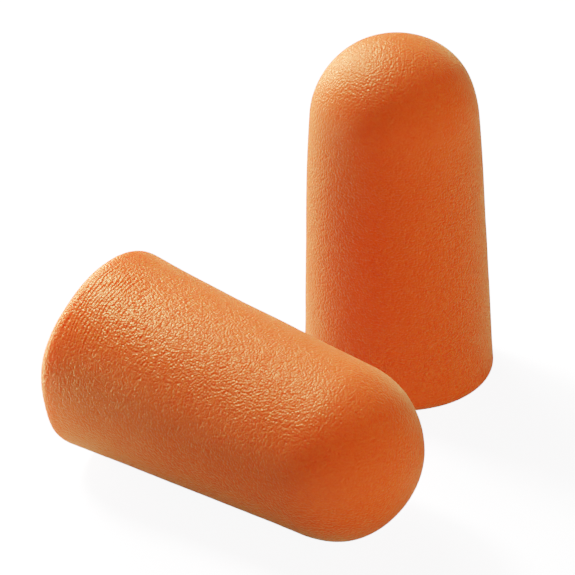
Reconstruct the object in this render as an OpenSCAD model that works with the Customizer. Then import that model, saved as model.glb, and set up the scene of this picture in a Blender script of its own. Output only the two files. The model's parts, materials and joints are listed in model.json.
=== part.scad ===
// A loose pair of tapered foam ear plugs: one stands on its base, one lies on its side.
// Each plug is one moulded piece: a flat base with a rounded edge, a tapered side and a round dome.
// The origin is the middle of the pair's footprint, on the surface that both plugs rest on.

/* [Plug] */
// Overall length of one plug, from its base to the top of its dome
plug_len = 25; // [22:0.5:28]
// Largest diameter, beside the base
base_d = 13.5; // [12.4:0.1:14.2]
// Diameter of the dome
dome_d = 11.4; // [10.4:0.1:12]
// Radius of the edge around the flat base
edge_r = 1; // [0.6:0.1:2]

/* [Layout] */
// Direction in which the lying plug's dome points, as an angle from +X
lying_yaw = -39.5; // [-60:0.5:-35]
// Distance along X from the middle of the lying plug's base to the standing plug's axis
apart_x = 19.8; // [18:0.1:26]
// Distance along Y from the middle of the lying plug's base to the standing plug's axis
apart_y = 8; // [7:0.1:14]

/* [Hidden] */
foam_colour = [0.82, 0.38, 0.15];
turn_fn = 128;      // facets around a turned surface
edge_steps = 12;    // straight steps along the base edge's arc
dome_steps = 32;    // straight steps along the dome's arc

dome_r = dome_d / 2;
flat_r = base_d / 2 - edge_r;    // radius of the base's flat disc, and of the edge's ring of centres
dome_z = plug_len - dome_r;      // height of the dome's centre above the base

// The side is a straight line tangent to the edge's arc and to the dome's arc.
// taper is its slope from the axis, found from the two arcs' centres and radii.
taper = acos((dome_r - edge_r) / norm([flat_r, dome_z - edge_r])) - atan2(dome_z - edge_r, flat_r);

function arc(centre, radius, from, to, steps) =
    [for (i = [0:steps]) let (a = from + (to - from) * i / steps)
        centre + radius * [cos(a), sin(a)]];

half_section = concat(
    [[0, 0]],
    arc([flat_r, edge_r], edge_r, -90, taper, edge_steps),
    arc([0, dome_z], dome_r, taper, 90, dome_steps));

// The lying plug's axis points along lying_axis. Its side lies flat along the surface,
// so it is tipped down towards the dome by the taper, and lying_z is the height of its base's middle.
lying_axis = [cos(taper) * cos(lying_yaw), cos(taper) * sin(lying_yaw), -sin(taper)];
lying_z = flat_r * cos(taper) + edge_r * (1 + sin(taper));

// How far the pair reaches along a direction.
// These are measured with the middle of the lying plug's base at [0, 0, lying_z].
// The base's rounded edge and the dome are the only parts of a plug that can reach furthest.
function across(direction) = norm(direction - (direction * lying_axis) * lying_axis);
function lying_reach(direction) = max(
    edge_r * (lying_axis * direction) + flat_r * across(direction) + edge_r,
    dome_z * (lying_axis * direction) + dome_r);
function standing_reach(direction) = [apart_x, apart_y, 0] * direction + base_d / 2;
function pair_reach(direction) = max(lying_reach(direction), standing_reach(direction));

lying_x = -(pair_reach([1, 0, 0]) - pair_reach([-1, 0, 0])) / 2;
lying_y = -(pair_reach([0, 1, 0]) - pair_reach([0, -1, 0])) / 2;

// One plug, with the middle of its base at the origin and its dome towards +Z.
module plug() {
    color(foam_colour)
        rotate_extrude($fn = turn_fn)
            polygon(half_section);
}

module standing_plug() {
    translate([lying_x + apart_x, lying_y + apart_y, 0])
        plug();
}

module lying_plug() {
    translate([lying_x, lying_y, lying_z])
        rotate([0, 90 + taper, lying_yaw])
            plug();
}

standing_plug();
lying_plug();
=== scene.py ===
# A loose pair of orange foam ear plugs: one stands on its base, the other lies on its side before it.
# Each plug is one moulded piece of soft foam, so each is one mesh: a turned shape with soft dents,
# fine wrinkles and a leathery grain. Lengths are in millimetres until a mesh is made, and a plug's
# own frame has its origin in the middle of the base and +Z towards the dome.
import json
from math import acos, atan2, cos, hypot, pi, radians, sin

import bpy
import numpy as np
from mathutils import Matrix, Vector, noise


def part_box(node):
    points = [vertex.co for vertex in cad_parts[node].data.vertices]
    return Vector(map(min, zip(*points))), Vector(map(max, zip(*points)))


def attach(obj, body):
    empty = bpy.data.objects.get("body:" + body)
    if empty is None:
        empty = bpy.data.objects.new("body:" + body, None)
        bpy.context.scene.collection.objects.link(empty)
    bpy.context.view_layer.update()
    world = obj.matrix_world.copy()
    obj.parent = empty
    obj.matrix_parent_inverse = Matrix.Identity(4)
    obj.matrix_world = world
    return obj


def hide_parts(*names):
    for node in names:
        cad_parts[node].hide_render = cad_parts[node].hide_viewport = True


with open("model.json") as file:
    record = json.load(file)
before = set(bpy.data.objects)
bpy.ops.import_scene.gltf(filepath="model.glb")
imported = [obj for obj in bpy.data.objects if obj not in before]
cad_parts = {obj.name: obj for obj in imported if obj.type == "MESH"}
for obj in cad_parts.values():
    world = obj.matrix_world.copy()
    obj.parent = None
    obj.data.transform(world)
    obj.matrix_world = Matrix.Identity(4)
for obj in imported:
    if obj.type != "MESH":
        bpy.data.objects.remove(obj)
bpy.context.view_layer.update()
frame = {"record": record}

MM = 0.001
MOUNTS = {mount["name"]: mount for mount in frame["record"]["mounts"]}
STANDING_LOW, STANDING_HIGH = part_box("standing_plug")

# ---------------------------------------------------------------- the plug's outline

PLUG_LEN = (STANDING_HIGH.z - STANDING_LOW.z) / MM
BASE_D = (STANDING_HIGH.x - STANDING_LOW.x) / MM
DOME_D = 11.4
EDGE_R = 1.0
DISH = 0.12           # how far the middle of the base is sunk

DOME_R = DOME_D / 2
DOME_Z = PLUG_LEN - DOME_R
FLAT_R = BASE_D / 2 - EDGE_R
# The side is a straight line tangent to the edge's arc and to the dome's arc.
TAPER = acos((DOME_R - EDGE_R) / hypot(FLAT_R, DOME_Z - EDGE_R)) - atan2(DOME_Z - EDGE_R, FLAT_R)

SEGMENTS = 350        # round the plug
BASE_ROWS = 12
EDGE_ROWS = 14
SIDE_ROWS = 192
DOME_ROWS = 62
CROWD = 0.65          # the side's rows are closer together towards the base, where the wrinkles are


def arc(centre_r, centre_z, radius, start, end, rows):
    """Points (r, z, outward r, outward z) along an arc, without its last point."""
    angles = start + (end - start) * np.arange(rows) / rows
    out_r, out_z = np.cos(angles), np.sin(angles)
    return np.stack([centre_r + radius * out_r, centre_z + radius * out_z, out_r, out_z], 1)


def outline():
    """Rows (r, z, outward r, outward z) from the middle of the base to the tip, both left out."""
    radii = FLAT_R * np.arange(1, BASE_ROWS) / BASE_ROWS
    dish = DISH * np.cos(pi / 2 * radii / FLAT_R) ** 2
    base = np.stack([radii, dish, 0 * radii, 0 * radii - 1], 1)
    edge = arc(FLAT_R, EDGE_R, EDGE_R, -pi / 2, TAPER, EDGE_ROWS)
    dome = arc(0, DOME_Z, DOME_R, TAPER, pi / 2, DOME_ROWS)
    even = np.arange(SIDE_ROWS) / SIDE_ROWS
    along = (CROWD * even + (1 - CROWD) * even ** 3)[:, None]
    out_r, out_z = cos(TAPER), sin(TAPER)
    foot = np.array([FLAT_R + EDGE_R * out_r, EDGE_R + EDGE_R * out_z, out_r, out_z])
    side = foot + (dome[0] - foot) * along
    return np.concatenate([base, edge, side, dome])


# ---------------------------------------------------------------- dents, wrinkles and grain

# Soft dents and swellings of each plug: height above the base, angle round the axis in degrees,
# reach along the plug, reach round it in degrees, and how far the skin stands out.
DENTS = {
    "standing": [
        (17.0, 178, 4.0, 50, 0.13),
        (2.5, 180, 5.0, 45, -0.24),
        (23.5, 20, 1.6, 35, 0.10),
        (20.5, 0, 1.8, 30, -0.09),
        (0.6, 335, 1.5, 25, 0.06),
        (9.0, 250, 3.5, 40, -0.06),
    ],
    "lying": [
        (0.6, 160, 2.6, 22, 0.25),
        (0.4, 213, 2.0, 20, -0.17),
        (0.3, 254, 1.8, 16, 0.11),
        (0.4, 282, 1.6, 13, -0.08),
        (0.6, 304, 1.6, 14, 0.09),
        (22.3, 340, 1.8, 30, 0.15),
        (13.0, 235, 3.5, 35, -0.08),
    ],
}

# Where the skin is creased near the base: the angles round the axis in degrees, and the spread.
CREASED = {
    "standing": [(60, 60), (200, 45)],
    "lying": [(208, 29), (20, 40), (95, 35)],
}
CREASE_TOP = 9.5              # the height where the creases have half faded
CREASE_FADE = 1.6
CREASE_START = (0.4, 1.3)     # the creases begin between these heights
CREASE_WANE = (2.25, 12.0)    # and lose strength between these
CREASE_WANED = 0.65           # the strength that they lose
CREASE_LEAST = 0.12           # how creased the skin is outside the patches

RIDGE_PITCH = 0.30            # from one ridge to the next
RIDGE_SWAY = 0.14             # how far a ridge wanders along the plug
PLUG_SWAY = 0.8               # how far all ridges wander together
RIDGE_MERGE = 4.0             # how far neighbouring ridges get out of step, in radians
RIDGE_RISE = 0.9              # the usual strength of a ridge
RIDGE_WORN = (0.4, 1.25)      # its least and most strength
CRINKLE_RISE = 2.6            # strength of the crinkles, against ridges of 1
CRINKLE_FROM = (2.0, 8.0)     # crinkles take over from the ridges between these heights
CRINKLE_SHARE = (0.15, 0.9)   # their least and most share
PATCH_VARY = 0.4              # how far the strength of both varies from patch to patch
PATCHY = (0.75, 1.2)          # its least and most

# How long the features of each noise are along X, Y and Z.
RIDGE_SWAY_SIZE = (1.2, 1.2, 1.4)
PLUG_SWAY_SIZE = (6.0, 6.0, 9.0)
MERGE_SIZE = (0.9, 0.9, 0.55)
WORN_SIZE = (0.75, 0.75, 0.4)
CRINKLE_SIZE = (0.26, 0.26, 0.17)
PATCH_SIZE = (3.0, 3.0, 2.5)
PEBBLE_SIZE = (0.2, 0.2, 0.2)
LUMP_SIZE = (4.5, 4.5, 5.5)
SMALL_LUMP_SIZE = (1.9, 1.9, 2.2)

LUMP_H = 0.045
WRINKLE_H = 0.034
PEBBLE_H = 0.009
SMALL_LUMPS = 0.35            # height of the small lumps, against large ones of 1
PEBBLES_LOST = 0.6            # how much of its pebbles the skin loses where it is creased

GRAIN = 0.5                   # strength of the material's grain on the base and the dome
GRAIN_START = (1.0, 4.0)      # the side's own strength of grain begins between these heights
GRAIN_END = (DOME_Z - 3, DOME_Z + 1)    # and ends between these
GRAIN_LOST = 0.4              # how much of its grain the skin loses where it is creased


def rising(value, span):
    """0 up to the span's start, 1 from its end on, and a straight rise between them."""
    start, end = span
    return np.clip((value - start) / (end - start), 0, 1)


def turned(angle, toward):
    """The turn from a direction in degrees to each angle, between -pi and pi."""
    return (angle - radians(toward) + pi) % (2 * pi) - pi


def sampled(points, size, apart=0.0):
    """Smooth noise at points, one value each, with features of a size along X, Y and Z.

    Noises that mustn't follow each other are read at places apart.
    """
    stretched = (points + apart) / np.array(size)
    return np.array([noise.noise(Vector(p)) for p in stretched])


def main_dents(height, angle, dents):
    """How far the skin stands out at each height and angle, all dents together."""
    out = np.zeros_like(height)
    for at, toward, reach, spread, depth in dents:
        turn = turned(angle, toward)
        out += depth * np.exp(-((height - at) / reach) ** 2 - (turn / radians(spread)) ** 2)
    return out


def creased(height, angle, patches):
    """How far the skin is wrinkled at each point: 1 in the creases near the base, 0 towards the dome."""
    near_base = rising(height, CREASE_START) / (1 + np.exp((height - CREASE_TOP) / CREASE_FADE))
    around = np.full_like(height, CREASE_LEAST)
    for toward, spread in patches:
        around = np.maximum(around, np.exp(-(turned(angle, toward) / radians(spread)) ** 4))
    return near_base * around * (1 - CREASE_WANED * rising(height, CREASE_WANE))


def wrinkles(points, height, shift):
    """Fine ridges that run round the plug, wavy and merging, and more broken away from the base."""
    moved = points + np.array([0, 0, shift])
    sway = RIDGE_SWAY * sampled(moved, RIDGE_SWAY_SIZE) + PLUG_SWAY * sampled(moved, PLUG_SWAY_SIZE)
    swayed = moved + np.stack([0 * sway, 0 * sway, sway], 1)
    out_of_step = RIDGE_MERGE * sampled(moved, MERGE_SIZE, apart=7.7)
    ridges = np.sin(2 * pi * swayed[:, 2] / RIDGE_PITCH + out_of_step)
    worn = np.clip(RIDGE_RISE + sampled(moved, WORN_SIZE, apart=3.1), *RIDGE_WORN)
    crinkles = CRINKLE_RISE * sampled(swayed, CRINKLE_SIZE, apart=5.3)
    share = np.clip(rising(height, CRINKLE_FROM), *CRINKLE_SHARE)
    patchy = np.clip(1 + PATCH_VARY * sampled(moved, PATCH_SIZE, apart=11.3), *PATCHY)
    return ((1 - share) * ridges * worn + share * crinkles) * patchy


def pebbles(points, shift):
    """The leathery grain all over the skin."""
    return sampled(points + np.array([shift, 0, 0]), PEBBLE_SIZE)


def lumps(points, shift):
    """The uneven skin of hand-squeezed foam, a few millimetres from lump to lump."""
    moved = points + np.array([0, shift, 0])
    return sampled(moved, LUMP_SIZE) + SMALL_LUMPS * sampled(moved, SMALL_LUMP_SIZE)


# ---------------------------------------------------------------- the plug's mesh

BAKE_MARGIN = 0.01            # left free around the unrolled skin


def skin_faces(rows):
    """Quads between the rows of points, and a fan round the pole at each end, which come last."""
    grid = np.arange(rows * SEGMENTS).reshape(rows, SEGMENTS)
    after = np.roll(grid, -1, axis=1)
    base_pole = rows * SEGMENTS
    tip_pole = base_pole + 1
    quads = np.stack([grid[:-1], after[:-1], after[1:], grid[1:]], -1).reshape(-1, 4)
    base_fan = np.stack([np.full(SEGMENTS, base_pole), after[0], grid[0]], -1)
    tip_fan = np.stack([np.full(SEGMENTS, tip_pole), grid[-1], after[-1]], -1)
    return quads.tolist() + base_fan.tolist() + tip_fan.tolist()


def add_attribute(mesh, name, values):
    """Keeps a number or a vector for each point, which the foam's material reads."""
    kind, field = ("FLOAT", "value") if values.ndim == 1 else ("FLOAT_VECTOR", "vector")
    attribute = mesh.attributes.new(name, kind, "POINT")
    attribute.data.foreach_set(field, values.astype(np.float32).ravel())


def past_seam(columns):
    """Columns at the corners of faces, with the first one counted as past the last across the seam."""
    over_seam = (columns.max(1) == SEGMENTS - 1) & (columns.min(1) == 0)
    return np.where(over_seam[:, None] & (columns == 0), SEGMENTS, columns)


def add_bake_uvs(mesh, rows):
    """Unrolls the skin into one strip: the angle goes across and the way from base to tip goes up."""
    steps = np.hypot(*np.diff(rows[:, :2], axis=0).T)
    way_up = np.concatenate([[0], np.cumsum(steps)])
    step = way_up[-1] / len(way_up)
    # The poles come last: the base's is a step below the first row, and the tip's a step above the last.
    up = np.concatenate([way_up + step, [0, way_up[-1] + 2 * step]])
    up /= up.max()

    loops = np.zeros(len(mesh.loops), np.int32)
    mesh.loops.foreach_get("vertex_index", loops)
    tip_pole = len(rows) * SEGMENTS + 1
    row_of = loops // SEGMENTS
    row_of[loops == tip_pole] = len(rows) + 1

    across = (loops % SEGMENTS).astype(float)
    starts = np.zeros(len(mesh.polygons), np.int32)
    totals = np.zeros(len(mesh.polygons), np.int32)
    mesh.polygons.foreach_get("loop_start", starts)
    mesh.polygons.foreach_get("loop_total", totals)
    quads = starts[totals == 4][:, None] + np.arange(4)
    across[quads] = past_seam(across[quads])
    # A triangle's first corner is the pole, which goes midway between the other two.
    poles = starts[totals == 3]
    rims = poles[:, None] + np.array([1, 2])
    across[rims] = past_seam(across[rims])
    across[poles] = across[rims].mean(1)

    strip = np.stack([across / SEGMENTS, up[row_of]], 1)
    uvs = BAKE_MARGIN + (1 - 2 * BAKE_MARGIN) * strip
    layer = mesh.uv_layers.new(name="OFBake")
    layer.data.foreach_set("uv", uvs.astype(np.float32).ravel())


def plug_mesh(name, dents, patches, shift, relief, coarse):
    """The plug's mesh in its own frame, in metres, with its bake UVs and the attributes of its skin."""
    rows = outline()
    r, z, out_r, out_z = [np.repeat(column, SEGMENTS) for column in rows.T]
    angle = np.tile(2 * pi * np.arange(SEGMENTS) / SEGMENTS, len(rows))
    points = np.stack([r * np.cos(angle), r * np.sin(angle), z], 1)
    outward = np.stack([out_r * np.cos(angle), out_r * np.sin(angle), out_z], 1)
    # The last two points are the poles, in the middle of the base and at the tip.
    points = np.concatenate([points, [[0, 0, DISH], [0, 0, PLUG_LEN]]])
    outward = np.concatenate([outward, [[0, 0, -1], [0, 0, 1]]])
    angle = np.concatenate([angle, [0, 0]])
    height = points[:, 2]
    round_part = np.hypot(outward[:, 0], outward[:, 1])

    wrinkled = creased(height, angle, patches)
    crease = wrinkles(points, height, shift) * wrinkled
    grain = pebbles(points, shift) * (1 - PEBBLES_LOST * wrinkled)
    bulge = main_dents(height, angle, dents) * round_part
    fine = relief * (WRINKLE_H * crease + PEBBLE_H * grain)
    rise = bulge + LUMP_H * lumps(points, shift) + fine
    shaped = points + outward * rise[:, None]

    mesh = bpy.data.meshes.new(name)
    mesh.from_pydata((shaped * MM).tolist(), [], skin_faces(len(rows)))
    mesh.polygons.foreach_set("use_smooth", [True] * len(mesh.polygons))

    on_side = rising(height, GRAIN_START) * (1 - rising(height, GRAIN_END))
    strength = (GRAIN + (coarse - GRAIN) * on_side) * (1 - GRAIN_LOST * wrinkled)
    add_attribute(mesh, "plug_mm", points + np.array([shift, 0, 0]))
    add_attribute(mesh, "relief_mm", fine)
    add_attribute(mesh, "wrinkled", wrinkled)
    add_attribute(mesh, "grain", strength)
    add_bake_uvs(mesh, rows)
    mesh.validate()
    return mesh


def add_plug(name, mount, down, dents, patches, shift, relief, coarse, material):
    """Makes a plug and sets it with its base on a mount and its side at angle 0 towards down.

    shift moves the noises, so that the two plugs differ. relief is the strength of the wrinkles and
    pebbles in the mesh, and coarse is the strength of the finer grain that the material adds.
    """
    axis = -Vector(mount["axis"]).normalized()
    side = (Vector(down) - Vector(down).dot(axis) * axis).normalized()
    turn = Matrix((side, axis.cross(side), axis)).transposed()
    mesh = plug_mesh(name, dents, patches, shift, relief, coarse)
    mesh.materials.append(material)
    mesh.transform(Matrix.Translation(mount["pos_m"]) @ turn.to_4x4())
    plug = bpy.data.objects.new(name, mesh)
    bpy.context.scene.collection.objects.link(plug)
    return plug


# ---------------------------------------------------------------- materials

# The foam's colours, from its low places to its high ones: by its pores, which vary at random, and by
# its relief, where the darker grooves are painted shade and the lighter crests a painted highlight.
PORE_COLOURS = ((0.79, 0.064, 0.0188), (0.83, 0.083, 0.0232))
RELIEF_SHADE_HIGHLIGHT_COLOURS = ((0.75, 0.053, 0.0166), (0.87, 0.095, 0.0270))
PORE_SPAN = (0.38, 0.62)      # the noise of the pores between which the colours go
RELIEF_SHADE_HIGHLIGHT_SPAN = (-0.02, 0.02)   # the relief in millimetres between which they go
PORES_PER_MM = 9.0
GRAINS_PER_MM = 6.0
GRAIN_FALL = -1.6             # how steeply a grain falls off from its middle, against pores 1 high
GRAIN_H = 0.07 * MM
ROUGHNESS = (0.42, 0.30)      # of smooth and of wrinkled skin


def new_material(name):
    material = bpy.data.materials.new(name)
    material.use_nodes = True
    nodes = material.node_tree.nodes
    return material, nodes, material.node_tree.links, nodes["Principled BSDF"]


def foam_material():
    material, nodes, links, shader = new_material("foam_skin")

    def node(kind, **settings):
        made = nodes.new(kind)
        for key, value in settings.items():
            setattr(made, key, value)
        return made

    def attribute(name, output="Fac"):
        return node("ShaderNodeAttribute", attribute_name=name).outputs[output]

    def span(value, start, end):
        """Takes a value's span from start to end onto 0 to 1."""
        made = node("ShaderNodeMapRange")
        made.inputs["From Min"].default_value = start
        made.inputs["From Max"].default_value = end
        links.new(value, made.inputs["Value"])
        return made.outputs["Result"]

    def ramp(value, start, end, colours):
        made = node("ShaderNodeValToRGB")
        for element, position, colour in zip(made.color_ramp.elements, (start, end), colours):
            element.position = position
            element.color = (*colour, 1)
        links.new(value, made.inputs["Fac"])
        return made.outputs["Color"]

    place = attribute("plug_mm", "Vector")
    wrinkled = attribute("wrinkled")

    noises = node("ShaderNodeTexNoise")
    noises.inputs["Scale"].default_value = PORES_PER_MM
    noises.inputs["Detail"].default_value = 0
    links.new(place, noises.inputs["Vector"])
    pores = noises.outputs["Fac"]

    # Each grain is a small dome: it falls off with the square of the distance from its middle.
    cells = node("ShaderNodeTexVoronoi", feature="F1")
    cells.inputs["Scale"].default_value = GRAINS_PER_MM
    cells.inputs["Randomness"].default_value = 0.9
    links.new(place, cells.inputs["Vector"])
    domes = node("ShaderNodeMath", operation="POWER")
    domes.inputs[1].default_value = 2
    links.new(cells.outputs["Distance"], domes.inputs[0])
    grains = node("ShaderNodeMath", operation="MULTIPLY_ADD")
    grains.inputs[1].default_value = GRAIN_FALL
    links.new(domes.outputs["Value"], grains.inputs[0])
    links.new(pores, grains.inputs[2])
    bump = node("ShaderNodeBump")
    bump.inputs["Distance"].default_value = GRAIN_H
    links.new(attribute("grain"), bump.inputs["Strength"])
    links.new(grains.outputs["Value"], bump.inputs["Height"])
    links.new(bump.outputs["Normal"], shader.inputs["Normal"])

    # Half of the colour follows the relief: painted shade in its grooves and a painted highlight on its
    # crests.
    colour = node("ShaderNodeMix", data_type="RGBA")
    colour.inputs["Factor"].default_value = 0.5
    relief = span(attribute("relief_mm"), *RELIEF_SHADE_HIGHLIGHT_SPAN)
    links.new(ramp(pores, *PORE_SPAN, PORE_COLOURS), colour.inputs["A"])
    links.new(ramp(relief, 0, 1, RELIEF_SHADE_HIGHLIGHT_COLOURS), colour.inputs["B"])
    links.new(colour.outputs["Result"], shader.inputs["Base Color"])

    # Where the skin is wrinkled it is tighter, so it is a little glossier.
    rough = node("ShaderNodeMapRange")
    rough.inputs["To Min"].default_value, rough.inputs["To Max"].default_value = ROUGHNESS
    links.new(wrinkled, rough.inputs["Value"])
    links.new(rough.outputs["Result"], shader.inputs["Roughness"])

    # Red light travels furthest inside the foam, so the red is even and the rest follows the light.
    shader.inputs["Subsurface Weight"].default_value = 0.7
    shader.inputs["Subsurface Radius"].default_value = (1.0, 0.2, 0.08)
    shader.inputs["Subsurface Scale"].default_value = 1.8 * MM
    shader.inputs["Specular IOR Level"].default_value = 0.26
    # A pale sheen at grazing angles, as from a skin of fine matte grain.
    shader.inputs["Sheen Weight"].default_value = 0.21
    shader.inputs["Sheen Roughness"].default_value = 0.4
    shader.inputs["Sheen Tint"].default_value = (0.8, 1.0, 0.9, 1)
    return material


FLOOR_WHITE = 4.0     # what the floor shows even in full shadow
FLOOR_BOUNCE = 0.34   # how much of the light the floor gives back to the plugs


def floor_material():
    material, _, _, shader = new_material("pale_floor")
    # The lamps are short of blue, so the floor has more of it, and its shadows stay grey.
    shader.inputs["Base Color"].default_value = (0.3, 0.3, 0.75, 1)
    shader.inputs["Roughness"].default_value = 0.8
    shader.inputs["Specular IOR Level"].default_value = 0
    shader.inputs["Emission Color"].default_value = (1, 1, 1, 1)
    shader.inputs["Emission Strength"].default_value = FLOOR_WHITE
    return material


def bounce_material():
    material, _, _, shader = new_material("floor_bounce")
    shader.inputs["Base Color"].default_value = (FLOOR_BOUNCE, FLOOR_BOUNCE, FLOOR_BOUNCE, 1)
    shader.inputs["Roughness"].default_value = 1
    shader.inputs["Specular IOR Level"].default_value = 0
    return material


# ---------------------------------------------------------------- camera and floor

CAMERA_AT = Vector((0.92, 0, 11.66)) * MM    # the point that the camera looks at
CAMERA_AWAY = 174 * MM
CAMERA_DOWN = radians(27.4)
CAMERA_ROLL = radians(-1.6)
SENSOR = 36                                  # its width, and the lens, in millimetres
LENS = 167

FLOOR_HALF = 1.5                             # half the floor's side, in metres
BOUNCE_DOWN = 0.1 * MM                       # how far below the floor the bounce lies


def add_camera():
    data = bpy.data.cameras.new("camera")
    data.sensor_width = SENSOR
    data.lens = LENS
    data.clip_start = 10 * MM
    camera = bpy.data.objects.new("camera", data)
    camera.rotation_mode = "ZYX"
    camera.rotation_euler = (pi / 2 - CAMERA_DOWN, 0, CAMERA_ROLL)
    back = Vector((0, -cos(CAMERA_DOWN), sin(CAMERA_DOWN)))
    camera.location = CAMERA_AT + back * CAMERA_AWAY
    bpy.context.scene.collection.objects.link(camera)
    bpy.context.scene.camera = camera


def add_plane(name, height, material):
    mesh = bpy.data.meshes.new(name)
    low, high = -FLOOR_HALF, FLOOR_HALF
    corners = [(low, low, height), (high, low, height), (high, high, height), (low, high, height)]
    mesh.from_pydata(corners, [], [(0, 1, 2, 3)])
    mesh.materials.append(material)
    plane = bpy.data.objects.new(name, mesh)
    bpy.context.scene.collection.objects.link(plane)
    return plane


def add_floor():
    """A near-white floor that only the camera sees, over a dimmer one that only lights the plugs."""
    floor = add_plane("floor", 0, floor_material())
    floor.visible_diffuse = False
    floor.visible_glossy = False
    floor.visible_transmission = False
    floor.visible_shadow = False
    bounce = add_plane("floor_bounce", -BOUNCE_DOWN, bounce_material())
    bounce.visible_camera = False


# ---------------------------------------------------------------- light

# Lamps at one distance: the way to each from the pair as degrees round (0 is the camera's side and
# 90 the right) and degrees up, its power in watts, and its width. The keys and rim come from behind on
# the left, and the fills lighten the shadows on the right.
LAMPS = {
    "key": (-135, 45, 3.43, 80),
    "key_behind": (-150, 35, 1.60, 160),
    "key_high": (-150, 60, 0.79, 160),
    "rim": (-150, 5, 2.00, 160),
    "fill_front": (30, 5, 1.10, 160),
    "fill_right": (60, 5, 0.56, 160),
    "fill_edge": (45, 5, 0.32, 80),
}
LAMP_AWAY = 350
LAMP_COLOUR = (1.0, 1.0, 0.4)

# Small lamps close to the lying plug's base, as if a white card stood there: the way to each as
# above, its power, its distance from CARD_AT, and its width.
CARDS = {
    "card_behind": (-130, 5, 0.016, 30, 20),
    "card_side": (-108, 0, 0.0028, 11, 8),
}
CARD_AT = Vector((-14.5, -3, 4)) * MM

WORLD_LIGHT = 4.2
WHITE = 5.0           # the light that the picture shows as white
TONE_STEPS = 10       # from point to point along the tone curve
ALL_COLOURS = 3       # the tone curve that comes after those of red, green and blue


def add_lamp(name, target, around, up, power, away, width):
    """A round lamp that faces a target from the way that around and up say."""
    around, up = radians(around), radians(up)
    toward = Vector((sin(around) * cos(up), -cos(around) * cos(up), sin(up)))
    data = bpy.data.lights.new(name, "AREA")
    data.shape = "DISK"
    data.size = width * MM
    data.energy = power
    data.color = LAMP_COLOUR
    lamp = bpy.data.objects.new(name, data)
    lamp.location = target + toward * away * MM
    lamp.rotation_mode = "QUATERNION"
    lamp.rotation_quaternion = toward.to_track_quat("Z", "Y")
    bpy.context.scene.collection.objects.link(lamp)
    return lamp


def add_lamps():
    for name, (around, up, power, width) in LAMPS.items():
        lamp = add_lamp(name, CAMERA_AT, around, up, power, LAMP_AWAY, width)
        # The fills only lighten the shadows, so they give no glints.
        lamp.visible_glossy = not name.startswith("fill")
    for name, (around, up, power, away, width) in CARDS.items():
        add_lamp(name, CARD_AT, around, up, power, away, width)


def add_world():
    """A plain white background that gives no light of its own."""
    world = bpy.data.worlds.new("studio")
    bpy.context.scene.world = world
    world.use_nodes = True
    background = world.node_tree.nodes["Background"]
    background.inputs["Color"].default_value = (1, 1, 1, 1)
    background.inputs["Strength"].default_value = WORLD_LIGHT
    world.cycles_visibility.diffuse = False
    world.cycles_visibility.glossy = False
    world.cycles_visibility.transmission = False
    world.cycles_visibility.scatter = False


def set_tone():
    """A camera's tone curve: it leaves the darks alone and rolls the lights off towards white."""
    view = bpy.context.scene.view_settings
    view.view_transform = "Standard"
    view.use_curve_mapping = True
    view.curve_mapping.white_level = (WHITE, WHITE, WHITE)
    curve = view.curve_mapping.curves[ALL_COLOURS]
    for step in range(1, TONE_STEPS):
        # The points are closer together in the darks, where the curve is steepest.
        part = (step / TONE_STEPS) ** 2
        light = part * WHITE
        curve.points.new(part, light * (1 + light / WHITE ** 2) / (1 + light))
    view.curve_mapping.update()


# ---------------------------------------------------------------- the scene

add_camera()
add_floor()
add_world()
add_lamps()
set_tone()

foam = foam_material()
standing = add_plug("standing_foam", MOUNTS["standing_base"], (1, 0, 0), DENTS["standing"],
                    CREASED["standing"], shift=0.0, relief=0.3, coarse=0.9, material=foam)
lying = add_plug("lying_foam", MOUNTS["lying_base"], (0, 0, -1), DENTS["lying"],
                 CREASED["lying"], shift=40.0, relief=1.0, coarse=0.68, material=foam)
for plug, body in ((standing, "standing_plug"), (lying, "lying_plug")):
    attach(plug, body)
    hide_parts(body)
